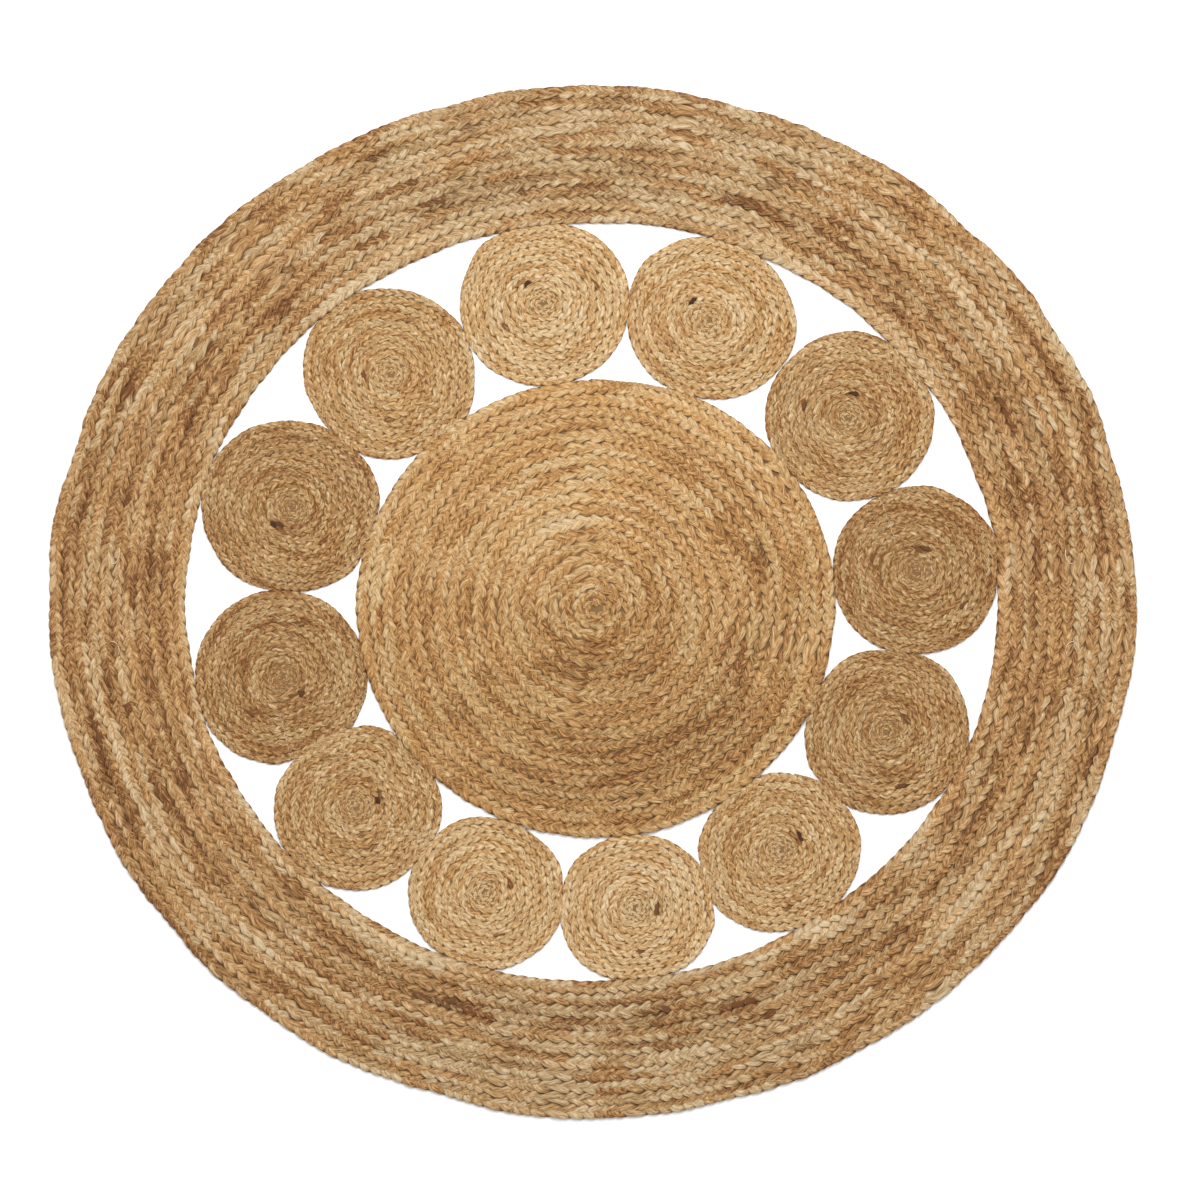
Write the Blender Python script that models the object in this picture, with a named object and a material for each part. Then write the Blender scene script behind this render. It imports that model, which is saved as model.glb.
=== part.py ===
"""A round braided jute rug with open spaces, lying flat.

A broad outer ring of eleven braid rows surrounds twelve small coils, which lie round one large coil.
Each coil is one three-strand braid, wound flat from a small knot outwards, counter-clockwise seen
from above, with its rows edge to edge and its end tapered and tucked against the row inside it. The
ring's rows are closed loops with butted ends. The pieces touch where their rims are pressed together.

Metres, +Z up. The origin is on the floor at the centre of the outer ring, and +X runs along the wider
axis of its slightly oval outline.
"""

import math
from collections import namedtuple

import bmesh
import bpy

# The outer ring: a band of even width round a slightly oval hole.
RUG_WIDE = 1.200
RUG_DEEP = 1.140
BAND = 0.1502
RING_ROWS = 11
RING_STEPS = 72

# The large coil in the middle. Its centre lies a little off the ring's centre.
CENTRE_X = 0.0025
CENTRE_Y = -0.0063
CENTRE_WIDE = 0.528
CENTRE_DEEP = 0.507
CENTRE_END = 92.0

# The braids. Thicknesses are those of the pressed braids, floor to crest.
MAIN_PITCH = 0.0136
MAIN_THICK = 0.009
FINE_PITCH = 0.0087
FINE_THICK = 0.0065
# A valley's height is a share of the thickness, and a foot's inset is a share of the pitch.
VALLEY = 0.62
FOOT_INSET = 0.28

# How the pieces meet: rims bulge furthest at one height, are pressed flat by PRESS and stay CLEAR apart.
# A small coil's straight sides cut across the large coil's round rim, by up to CHORD_SLACK more.
RIM_HEIGHT = 0.0036
CLEAR = 0.0003
CHORD_SLACK = 0.0003
PRESS = 0.0015

# A coil: its centre, its braid, the knot's radius in rows, the steps of one turn, the direction of the
# braid's end, and its rim, a function that gives distance from the centre by direction.
Coil = namedtuple("Coil", "x y pitch thick knot_rows steps end rim")
CENTRE_KNOT = 1.3
CENTRE_STEPS = 36
SMALL_KNOT = 2.0
SMALL_STEPS = 18
TAIL_TURNS = 2 / 18
# The rim doesn't grow by the whole width of a row on its way round: sewing evens out this share of it.
EVENED_OUT = 0.5

# One row for each small coil, counter-clockwise from the one at the top. bearing: the direction of its
# centre from the rug's centre. across: its width along the circle of coils. shift: how far its centre
# lies outside the middle of the channel between ring and large coil. end: the direction, from its own
# centre, in which its braid ends. Angles are in degrees from +X.
SmallCoil = namedtuple("SmallCoil", "bearing across shift end")
SMALL_COILS = (
    SmallCoil(99.4, 0.187, 0.002, 175),
    SmallCoil(131.7, 0.184, -0.004, 231),
    SmallCoil(162.6, 0.187, -0.004, 272),
    SmallCoil(193.6, 0.190, -0.001, 5),
    SmallCoil(221.0, 0.180, -0.003, 63),
    SmallCoil(249.8, 0.170, 0.001, 59),
    SmallCoil(278.2, 0.173, 0.001, 49),
    SmallCoil(306.6, 0.180, -0.003, 79),
    SmallCoil(336.2, 0.182, -0.002, 85),
    SmallCoil(5.4, 0.184, 0.000, 123),
    SmallCoil(35.8, 0.184, -0.001, 125),
    SmallCoil(67.5, 0.187, 0.000, 174),
)

# Colours (linear), roughness: dry plant fibre, no metal.
RING_COLOUR = (0.46, 0.28, 0.125)
CENTRE_COLOUR = (0.50, 0.31, 0.13)
SMALL_COLOUR = (0.52, 0.34, 0.17)
FIBRE_ROUGHNESS = 0.85


def clear_scene():
    for obj in list(bpy.data.objects):
        bpy.data.objects.remove(obj, do_unlink=True)


def new_collection(name):
    collection = bpy.data.collections.new(name)
    bpy.context.scene.collection.children.link(collection)
    return collection


def fibre_material(name, colour):
    material = bpy.data.materials.new(name)
    material.use_nodes = True
    shader = material.node_tree.nodes["Principled BSDF"]
    shader.inputs["Base Color"].default_value = (*colour, 1.0)
    shader.inputs["Roughness"].default_value = FIBRE_ROUGHNESS
    shader.inputs["Metallic"].default_value = 0.0
    material.diffuse_color = (*colour, 1.0)
    return material


def oval_radius(half_wide, half_deep, angle):
    """Distance from an oval's centre to its edge in one direction."""
    return 1.0 / math.hypot(math.cos(angle) / half_wide, math.sin(angle) / half_deep)


# ---- the coils ----


def row_edge(knot_rows, winding):
    """Radius, in rows, of the inner edge of the braid after so many turns round the knot.

    The first turn lies on the knot itself, and each later one lies on the turn before it.
    """
    return knot_rows + max(0.0, winding - 1.0)


def turns_of(mean_radius, pitch, knot_rows, steps):
    """Turns of braid, in whole steps, that bring the coil's mean rim to this radius."""
    return round((mean_radius / pitch - knot_rows + 0.5) * steps) / steps


def rim_rows(knot_rows, turns, back):
    """Radius, in rows, of the coil's rim at a point so many turns back from the braid's end.

    Over the tail the braid narrows from its full width to nothing.
    """
    inner = row_edge(knot_rows, turns - back)
    outer = row_edge(knot_rows, turns - back + 1.0)
    return inner + (outer - inner) * min(1.0, back / TAIL_TURNS)


def turns_back(angle, end):
    """Turns, from 0 to 1, by which a direction lies behind the braid's end."""
    return ((end - angle) / math.tau) % 1.0


def free_rim(half_wide, half_deep, turned, pitch, knot_rows, steps, end):
    """The rim, as distance by direction, of an oval coil that nothing presses on.

    The oval's axes are turned by `turned`. The rim grows on its way round, as the winding braid
    does, and drops back over the braid's tail.
    """
    mean = (half_wide + half_deep) / 2
    turns = turns_of(mean, pitch, knot_rows, steps)

    def rim(angle):
        oval = oval_radius(half_wide, half_deep, angle - turned)
        rows = rim_rows(knot_rows, turns, turns_back(angle, end))
        return oval + (rows - knot_rows - turns + 0.5) * pitch * (1.0 - EVENED_OUT)

    return rim


def reach(x, y, rim, angle, blocked):
    """How far a coil reaches in one direction before its rim or a neighbour stops it."""
    along_x = math.cos(angle)
    along_y = math.sin(angle)
    near = 0.0
    far = rim(angle)
    if not blocked(x + far * along_x, y + far * along_y):
        return far
    for _ in range(24):
        middle = (near + far) / 2
        if blocked(x + middle * along_x, y + middle * along_y):
            far = middle
        else:
            near = middle
    return near


def centre_coil():
    end = math.radians(CENTRE_END)
    half_wide = CENTRE_WIDE / 2
    half_deep = CENTRE_DEEP / 2
    rim = free_rim(half_wide, half_deep, 0.0, MAIN_PITCH, CENTRE_KNOT, CENTRE_STEPS, end)
    return Coil(
        CENTRE_X, CENTRE_Y, MAIN_PITCH, MAIN_THICK, CENTRE_KNOT, CENTRE_STEPS, end, rim
    )


def inside_hole(x, y, clear):
    """True inside the ring's hole, whose oval edge is made of RING_STEPS straight sides."""
    half_wide = RUG_WIDE / 2 - BAND - clear
    half_deep = RUG_DEEP / 2 - BAND - clear
    half_side = math.pi / RING_STEPS
    along_side = math.atan2(y / half_deep, x / half_wide) % (2 * half_side) - half_side
    side = math.cos(half_side) / math.cos(along_side)
    return math.hypot(x / half_wide, y / half_deep) < side


def inside_centre(centre, x, y, clear):
    dx = x - centre.x
    dy = y - centre.y
    return math.hypot(dx, dy) < centre.rim(math.atan2(dy, dx)) + clear


def channel(centre, bearing):
    """Inner and outer distance, from the rug's centre, of the channel that the small coils fill."""
    along_x = math.cos(bearing)
    along_y = math.sin(bearing)
    outer = oval_radius(RUG_WIDE / 2 - BAND, RUG_DEEP / 2 - BAND, bearing)
    low = 0.0
    high = outer
    for _ in range(24):
        middle = (low + high) / 2
        if inside_centre(centre, middle * along_x, middle * along_y, 0.0):
            low = middle
        else:
            high = middle
    return low, outer


def free_small_coil(centre, row):
    """A small coil as wide as the table says, and as deep as the channel plus what is pressed flat."""
    bearing = math.radians(row.bearing)
    inner, outer = channel(centre, bearing)
    from_centre = (inner + outer) / 2 + row.shift
    half_deep = (outer - inner) / 2 + abs(row.shift) + PRESS
    half_across = row.across / 2 + PRESS
    end = math.radians(row.end)
    rim = free_rim(half_deep, half_across, bearing, FINE_PITCH, SMALL_KNOT, SMALL_STEPS, end)
    x = from_centre * math.cos(bearing)
    y = from_centre * math.sin(bearing)
    return Coil(x, y, FINE_PITCH, FINE_THICK, SMALL_KNOT, SMALL_STEPS, end, rim)


def beyond_seam(coil, neighbour, x, y):
    """True past the straight line along which two coils press each other flat."""
    dx = neighbour.x - coil.x
    dy = neighbour.y - coil.y
    apart = math.hypot(dx, dy)
    own = coil.rim(math.atan2(dy, dx))
    other = neighbour.rim(math.atan2(-dy, -dx))
    seam = (apart + own - other) / 2 - CLEAR / 2
    along = ((x - coil.x) * dx + (y - coil.y) * dy) / apart
    return along > seam


def pressed_rim(coil, centre, neighbours):
    """The coil's rim where ring, large coil and neighbours leave room for it."""

    def blocked(x, y):
        if not inside_hole(x, y, CLEAR):
            return True
        if inside_centre(centre, x, y, CLEAR + CHORD_SLACK):
            return True
        return any(beyond_seam(coil, neighbour, x, y) for neighbour in neighbours)

    def rim(angle):
        return reach(coil.x, coil.y, coil.rim, angle, blocked)

    return rim


def small_coils(centre):
    free = [free_small_coil(centre, row) for row in SMALL_COILS]
    count = len(free)
    pressed = []
    for index, coil in enumerate(free):
        neighbours = (free[index - 1], free[(index + 1) % count])
        pressed.append(coil._replace(rim=pressed_rim(coil, centre, neighbours)))
    return pressed


def coil_mesh(name, coil):
    """One closed body: a coil of raised rows on a flat underside.

    Two lines of points wind outwards together, the valley between two rows and the crest of a row.
    A step of the braid is the strip between its inner valley, its crest and its outer valley, which is
    the inner valley of the next turn. The strip starts and ends in a point.
    """
    steps = coil.steps
    rims = [coil.rim(coil.end + math.tau * step / steps) for step in range(steps)]
    mean = sum(rims) / steps
    turns = turns_of(mean, coil.pitch, coil.knot_rows, steps)
    last = round(turns * steps)
    bm = bmesh.new()

    def place(rows, step, height):
        """A point at a radius in rows, scaled so that the rows fill the coil out to its rim."""
        around = (step - last) % steps
        angle = coil.end + math.tau * around / steps
        back = ((last - step) % steps) / steps
        scale = rims[around] / rim_rows(coil.knot_rows, turns, back)
        radius = rows * scale
        x = coil.x + radius * math.cos(angle)
        y = coil.y + radius * math.sin(angle)
        return bm.verts.new((x, y, height))

    def rows_at(step):
        """Radius of a valley, which beyond the last turn is the rim."""
        winding = step / steps
        if step <= last:
            return row_edge(coil.knot_rows, winding)
        return rim_rows(coil.knot_rows, turns, turns + 1.0 - winding)

    valley_height = VALLEY * coil.thick
    valleys = []
    for step in range(last + steps):
        height = RIM_HEIGHT if step >= last else valley_height
        valleys.append(place(rows_at(step), step, height))
    valleys.append(valleys[last])
    # The first turn starts on the knot with no width, so its outer edge begins where its inner does.
    bm.verts.remove(valleys[steps])
    valleys[steps] = valleys[0]
    crests = [valleys[0]]
    for step in range(1, last):
        rows = (rows_at(step) + rows_at(step + steps)) / 2
        crests.append(place(rows, step, coil.thick))
    crests.append(valleys[last])

    for step in range(last):
        inner = [valleys[step], crests[step], crests[step + 1], valleys[step + 1]]
        outer = [crests[step], valleys[step + steps], valleys[step + steps + 1], crests[step + 1]]
        for corners in (inner, outer):
            bm.faces.new(list(dict.fromkeys(corners)))

    knot = bm.verts.new((coil.x, coil.y, coil.thick))
    for step in range(steps):
        bm.faces.new((knot, valleys[step], valleys[step + 1]))

    rim = valleys[last : last + steps]
    foot = []
    for vert in rim:
        dx = vert.co.x - coil.x
        dy = vert.co.y - coil.y
        inset = 1.0 - FOOT_INSET * coil.pitch / math.hypot(dx, dy)
        foot.append(bm.verts.new((coil.x + dx * inset, coil.y + dy * inset, 0.0)))
    for step in range(steps):
        following = (step + 1) % steps
        bm.faces.new((rim[step], foot[step], foot[following], rim[following]))
    bm.faces.new(foot[::-1])

    bmesh.ops.triangulate(bm, faces=[face for face in bm.faces if len(face.verts) == 4])
    bmesh.ops.recalc_face_normals(bm, faces=bm.faces[:])
    mesh = bpy.data.meshes.new(name)
    bm.to_mesh(mesh)
    bm.free()
    mesh.shade_smooth()
    mesh.set_sharp_from_angle(angle=math.radians(70))
    return mesh


def add_coil(name, coil, material, collection):
    mesh = coil_mesh(name, coil)
    mesh.materials.append(material)
    obj = bpy.data.objects.new(name, mesh)
    collection.objects.link(obj)
    return obj


# ---- the outer ring ----


def closed_line(name, points):
    """A closed flat curve through the points."""
    curve = bpy.data.curves.new(name, "CURVE")
    curve.dimensions = "2D"
    curve.fill_mode = "NONE"
    spline = curve.splines.new("POLY")
    spline.points.add(len(points) - 1)
    for point, (x, y) in zip(spline.points, points):
        point.co = (x, y, 0.0, 1.0)
    spline.use_cyclic_u = True
    return curve


def ring_section():
    """The ring's cut face: a flat underside, rounded rims, and a crest for each row."""
    pitch = BAND / RING_ROWS
    edge = BAND / 2
    foot = FOOT_INSET * MAIN_PITCH
    points = [(foot - edge, 0.0), (-edge, RIM_HEIGHT)]
    for row in range(RING_ROWS):
        crest = (row + 0.5) * pitch - edge
        points.append((crest, MAIN_THICK))
        if row < RING_ROWS - 1:
            points.append((crest + pitch / 2, VALLEY * MAIN_THICK))
    points.extend([(edge, RIM_HEIGHT), (edge - foot, 0.0)])
    return points


def add_ring(name, material, collection, guides):
    """The section carried round the oval that runs along the middle of the band."""
    section = bpy.data.objects.new("ring_section", closed_line("ring_section", ring_section()))
    section.hide_render = True
    section.display_type = "WIRE"
    guides.objects.link(section)
    half_wide = (RUG_WIDE - BAND) / 2
    half_deep = (RUG_DEEP - BAND) / 2
    middle = []
    for step in range(RING_STEPS):
        angle = math.tau * step / RING_STEPS
        middle.append((half_wide * math.cos(angle), half_deep * math.sin(angle)))
    curve = closed_line(name, middle)
    curve.bevel_mode = "OBJECT"
    curve.bevel_object = section
    curve.materials.append(material)
    obj = bpy.data.objects.new(name, curve)
    collection.objects.link(obj)
    return obj


def main():
    clear_scene()
    rug = new_collection("round_jute_rug")
    guides = new_collection("guides")
    add_ring("outer_ring", fibre_material("ring_jute", RING_COLOUR), rug, guides)
    centre = centre_coil()
    add_coil("centre_disc", centre, fibre_material("centre_jute", CENTRE_COLOUR), rug)
    for number, coil in enumerate(small_coils(centre), start=1):
        material = fibre_material(f"small_jute_{number:02d}", SMALL_COLOUR)
        add_coil(f"small_disc_{number:02d}", coil, material, rug)


main()
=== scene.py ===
"""A round braided jute rug lying flat on a pale floor, seen from straight above.

Metres, +Z up. Every braid is three real strands that cross each other, wound or laid in rows where
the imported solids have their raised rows.
"""

import math

import bpy
import numpy as np
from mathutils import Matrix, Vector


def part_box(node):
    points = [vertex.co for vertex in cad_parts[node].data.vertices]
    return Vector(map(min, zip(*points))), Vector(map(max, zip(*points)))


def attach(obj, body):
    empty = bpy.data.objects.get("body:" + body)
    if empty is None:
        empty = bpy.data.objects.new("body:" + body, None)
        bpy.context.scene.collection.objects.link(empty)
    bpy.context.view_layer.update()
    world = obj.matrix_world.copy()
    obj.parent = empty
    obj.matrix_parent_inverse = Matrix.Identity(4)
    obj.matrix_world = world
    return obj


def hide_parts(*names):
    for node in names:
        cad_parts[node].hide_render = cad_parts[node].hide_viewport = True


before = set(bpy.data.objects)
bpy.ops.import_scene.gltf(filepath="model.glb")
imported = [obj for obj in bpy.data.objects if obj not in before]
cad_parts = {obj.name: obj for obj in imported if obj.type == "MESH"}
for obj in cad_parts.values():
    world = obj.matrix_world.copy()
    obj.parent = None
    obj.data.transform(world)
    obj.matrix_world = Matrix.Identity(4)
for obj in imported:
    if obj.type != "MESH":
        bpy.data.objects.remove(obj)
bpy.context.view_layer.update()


# ---- The outer ring --------------------------------------------------------------------------
# Eleven rows of flat three-strand jute braid, each a closed loop with butted ends, sewn edge to
# edge into one broad band. The strands are untwisted bundles of dry bast fibre, and the lobes of
# each row are pressed into the dips of the next.

TURN = 2.0 * math.pi
LOBE_TURN = TURN / 3.0  # one lobe's part of a turn of the three strands
RING_ROWS = 11
RING_BAND = 0.1502  # width of all the rows
MAIN_PITCH = RING_BAND / RING_ROWS
MAIN_THICK = 0.009
MAIN_LOBE = 0.0139  # length of one lobe along its row
STEPS_A_BRAID = 12  # cuts along one turn of the three strands
SIDES = 6  # corners of a strand's cut
MANY = 8192  # random values for a braid with open ends, more than it has lobes
CHANGE = 0.24  # part of a half wave in which one lobe's random value gives way to the next
SQUARENESS = 1.2  # how broad the crests of a strand's waves are

# Shares of the braid's width.
STRAND = 0.352  # half width of a strand
SWING, SWING_VARIES = 0.358, 0.03  # a strand's way from the middle line to an edge
ZIGZAG = 0.21  # reach of the lobes into the dips of the next row
FREE_SCALLOP = 0.045  # bulge of the lobes at a free edge
LAP = 0.045  # overlap with the next row's lobes
UNEVEN = 0.07  # wandering of the border between two rows

# Shares of the braid's thickness.
LEVEL, RISE, RISE_VARIES = 0.50, 0.20, 0.045  # a strand's mean height, and its rise and fall
STRAND_HIGH = 0.22  # half height of a strand

# Shares of the strand's own size, powers of its cut (below 1 is boxier), and its roll in radians.
SLIM, BROADER, FAT_VARIES, HIGH_VARIES = 0.90, 0.12, 0.13, 0.12
ACROSS_POWER, UP_POWER = 0.62, 0.8
EDGE_ROLL, CROSSING_ROLL, ROLL_VARIES = 0.14, 0.42, 0.18
UNPRESSED = 0.82  # part of the way to the border in which a strand keeps its shape

# Amounts of shade and of warmth, for each lobe and for drifts over 5 and 9 lobes.
LOBE_TONE, SLOW_TONE = 0.22, 0.05
LOBE_WARM, DARK_WARM, SLOW_WARM = 0.26, 0.58, 0.14
DARK_FROM, DARKER = 0.6, 1.3  # the darkest lobes are drawn out to a longer tail
BROKEN, BROKEN_VARIES = 0.7, 1.1  # how much of a stain a lobe takes

SLIP = 0.30  # part of a lobe's length in which it slips past one of the row inside
ROW_SHIFT = 0.37  # lobes by which each row is ahead of the last at its butted ends
STRETCH, STRETCHES = 0.22, 120  # lobes by which a row is stretched, at so many places round it
FIRST_STRETCH, FIRST_STRETCHES = 0.35, 60  # the same for the innermost row
EDGE_DIP = 0.0024  # how far the outer edge is pulled in at its dips
EDGE_DIPS, DIP_HALF = (18.0, 74.0), 3.5  # their bearings in each quarter and half lengths, in degrees


def smooth_step(share):
    """3t^2 - 2t^3, which eases from 0 to 1."""
    return share * share * (3.0 - 2.0 * share)


def drift(place, rng, around=MANY):
    """Smooth random values from -1 to 1 along a line: one random value at each whole place, and
    an eased blend between them. The values repeat after the place named by around."""
    values = rng.uniform(-1.0, 1.0, around)
    low = np.floor(place).astype(int)
    share = smooth_step(place - low)
    return values[low % around] * (1.0 - share) + values[(low + 1) % around] * share


def per_lobe(halves, rng, around=MANY):
    """One random value from -1 to 1 for each half wave of a strand, which is one lobe that shows
    above and one below. It changes quickly, where the strand is hidden under the others."""
    values = rng.uniform(-1.0, 1.0, around)
    near = halves + 0.5
    low = np.floor(near).astype(int)
    share = smooth_step(np.clip((near - low - 0.5) / CHANGE + 0.5, 0.0, 1.0))
    return values[(low - 1) % around] * (1.0 - share) + values[low % around] * share


def lobes_gained(lobes, slip):
    """How many lobes a row is ahead of the row inside it: a staircase, level for most of the way so
    that the lobes of one row lie in the dips of the other, and sloped where one lobe slips past."""
    whole = np.floor(lobes)
    return whole + np.clip((lobes - whole - 0.5) / slip + 0.5, 0.0, 1.0)


def edge_wave(phase):
    """How far a braid bulges at its outer edge, from -1 to 1, as its three strands reach it in turn:
    minus the sine of three times the phase. Its inner edge bulges by the opposite."""
    return -np.sin(3.0 * phase)


def shared_wave(phase, other):
    """The wave of a border between two rows: the mean of their two edge waves."""
    return (edge_wave(phase) + edge_wave(other)) / 2.0


def squared(wave):
    """A wave from -1 to 1 with broader crests: tanh of 1.2 times the wave, over tanh of 1.2."""
    return np.tanh(SQUARENESS * wave) / math.tanh(SQUARENESS)


def hill(value, middle, half):
    """exp(-((value - middle) / half)^2), a smooth hill that is 1 at its middle."""
    return np.exp(-(((value - middle) / half) ** 2))


def sway(places):
    """How far hand-sewn rows lie off their true lines: the sum of slow sideways waves of 90 to
    250 mm and smaller ones of 35 to 50 mm. It depends on the place alone, so that neighbouring
    rows and pieces lean together."""
    rng = np.random.default_rng(7)
    moved = np.zeros_like(places)
    for most, short, long, waves in ((0.0010, 0.09, 0.25, 8), (0.0005, 0.035, 0.05, 12)):
        heading = rng.uniform(0.0, TURN, waves)
        crests = TURN / rng.uniform(short, long, waves)
        offset = rng.uniform(0.0, TURN, waves)
        lean = rng.uniform(0.0, TURN, waves)
        swell = np.sin(places @ (np.stack([np.cos(heading), np.sin(heading)]) * crests) + offset)
        moved += swell @ (np.stack([np.cos(lean), np.sin(lean)], axis=1) * most * math.sqrt(2.0 / waves))
    return moved


def stained(along, across, chart):
    """Tone and warmth from a chart of stained stretches. Each is a soft-edged patch: it fades as
    the fourth power of the distance from its middle, measured in its own half sizes."""
    tone = np.zeros_like(along)
    warm = np.zeros_like(along)
    for middle, deep, half_long, half_deep, darker, warmer in chart:
        off = (along - middle + 180.0) % 360.0 - 180.0
        amount = np.exp(-((off / half_long) ** 4) - ((across - deep) / half_deep) ** 4)
        tone += darker * amount
        warm += warmer * amount
    return tone, warm


def lobe_mean(values, halves):
    """Gives each lobe the mean of the values along its upper half, which is the first half of the
    half wave, so that a stain takes whole lobes."""
    lobe = np.floor(halves).astype(int)
    shown = (halves - lobe < 0.5).astype(float)
    lobe -= lobe.min()
    lobe += np.arange(len(lobe))[:, None] * (lobe.max() + 1)
    many = np.maximum(np.bincount(lobe.ravel(), shown.ravel()), 1.0)
    return (np.bincount(lobe.ravel(), (values * shown).ravel()) / many)[lobe]


def braid_dye(middles, halves, thick, rng, around, closed, mottle, shade):
    """Tone, warmth and the braid's thickness along the strands: smooth values for the place, a random
    share for each lobe, a slow drift, and the stains, of which each lobe takes its own part. The
    darker a lobe, the redder it is. The random part is scaled by mottle, and is less in thinner
    braid."""
    (tone, warm), stains = shade(middles)
    stain_tone, stain_warm = (lobe_mean(stain, halves) for stain in stains)
    lobe = per_lobe(halves, rng, around)
    lobe -= DARKER * np.maximum(-lobe - DARK_FROM, 0.0)
    broken = np.maximum(BROKEN + BROKEN_VARIES * per_lobe(halves, rng, around), 0.0)
    slow, slow_warm = (
        drift(halves / lobes, rng, max(1, around // lobes) if closed else around) for lobes in (5, 9)
    )
    coarse = mottle * (thick / MAIN_THICK) ** 1.5
    broken += (1.0 - broken) * np.clip(np.abs(stain_tone), 0.0, 1.0)
    own_warm = LOBE_WARM * per_lobe(halves, rng, around) - DARK_WARM * lobe + SLOW_WARM * slow_warm
    dye_and_shade_height = np.empty((*halves.shape, 3))
    dye_and_shade_height[..., 0] = 0.5 + tone + (LOBE_TONE * lobe + SLOW_TONE * slow) * coarse + stain_tone * broken
    dye_and_shade_height[..., 1] = 0.5 + warm + own_warm * coarse + stain_warm * broken
    dye_and_shade_height[..., 2] = thick
    return dye_and_shade_height


def braid_mesh(name, course, thick, closed, full, mottle, shade, seed):
    """Three strands along a course, as tubes. The course is a middle line with its normals, widths
    and phases, and the waves of its inner and outer borders.

    Strand k has the phase p = phase + k/3 of a turn. It swings sideways by sin p, half of it made
    squarer, and its height follows sin 2p, made squarer: it passes over the others on its way out
    to an edge, and under them on its way back. Its cut is a flat oval, rolled outwards at the edges
    of the braid. What would reach past the wavy border is pressed back to it, by a tanh, except for
    the lap in which the lobes of two rows press into each other.
    """
    line, normal, wide, phase, inner_wave, outer_wave = course
    rng = np.random.default_rng(seed)
    count = len(line)
    p = phase[None, :] + np.arange(3)[:, None] * TURN / 3.0
    halves = p / math.pi
    around = 2 * (count // STEPS_A_BRAID) if closed else MANY
    fat, high, tilt = (per_lobe(halves, rng, around) for _ in range(3))
    wide = wide[None, :]
    thick = thick[None, :]

    sine = np.sin(p)
    swing = wide * (SWING + SWING_VARIES * fat) * (0.5 * sine + 0.5 * squared(sine))
    centre = np.empty((3, count, 3))
    centre[..., :2] = line[None] + swing[..., None] * normal[None]
    centre[..., 2] = thick * (LEVEL + RISE * squared(np.sin(2.0 * p)) + RISE_VARIES * high)
    along = np.gradient(centre, axis=1)
    if closed:
        along = np.roll(centre, -1, axis=1) - np.roll(centre, 1, axis=1)
    along /= np.linalg.norm(along, axis=2, keepdims=True)

    roll = EDGE_ROLL * sine - CROSSING_ROLL * np.cos(p) + ROLL_VARIES * tilt
    up = np.zeros_like(centre)
    up[..., :2] = np.sin(roll)[..., None] * normal[None]
    up[..., 2] = np.cos(roll)
    up -= (up * along).sum(2, keepdims=True) * along
    up /= np.linalg.norm(up, axis=2, keepdims=True)
    side = np.cross(along, up)

    half_wide = wide * full * (SLIM + BROADER * np.abs(np.sin(2.0 * p)) + FAT_VARIES * fat)
    half_high = thick * STRAND_HIGH * (1.0 + HIGH_VARIES * high)
    turn = TURN * np.arange(SIDES) / SIDES
    across_cut = np.sign(np.cos(turn)) * np.abs(np.cos(turn)) ** ACROSS_POWER
    up_cut = np.sign(np.sin(turn)) * np.abs(np.sin(turn)) ** UP_POWER
    points = (
        centre[:, :, None]
        + side[:, :, None] * (half_wide[..., None] * across_cut)[..., None]
        + up[:, :, None] * (half_high[..., None] * up_cut)[..., None]
    )
    reach = ((points[..., :2] - line[None, :, None]) * normal[None, :, None]).sum(-1)
    border = np.where(reach > 0.0, wide[..., None] / 2 + outer_wave[None, :, None],
                      wide[..., None] / 2 - inner_wave[None, :, None]) + LAP * wide[..., None]
    free = UNPRESSED * border
    over = np.maximum(np.abs(reach) - free, 0.0)
    pressed = free + (border - free) * np.tanh(over / (border - free))
    pressed = np.where(over > 0.0, pressed, np.abs(reach))
    points[..., :2] += ((np.sign(reach) * pressed - reach)[..., None]) * normal[None, :, None]

    dye_and_shade_height = braid_dye(centre[..., :2], halves, thick, rng, around, closed, mottle, shade)
    points[..., :2] += sway(points[..., :2])
    points[..., 2] = np.maximum(points[..., 2], 0.0)
    return strands_to_mesh(name, points, dye_and_shade_height, closed, rng)


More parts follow.
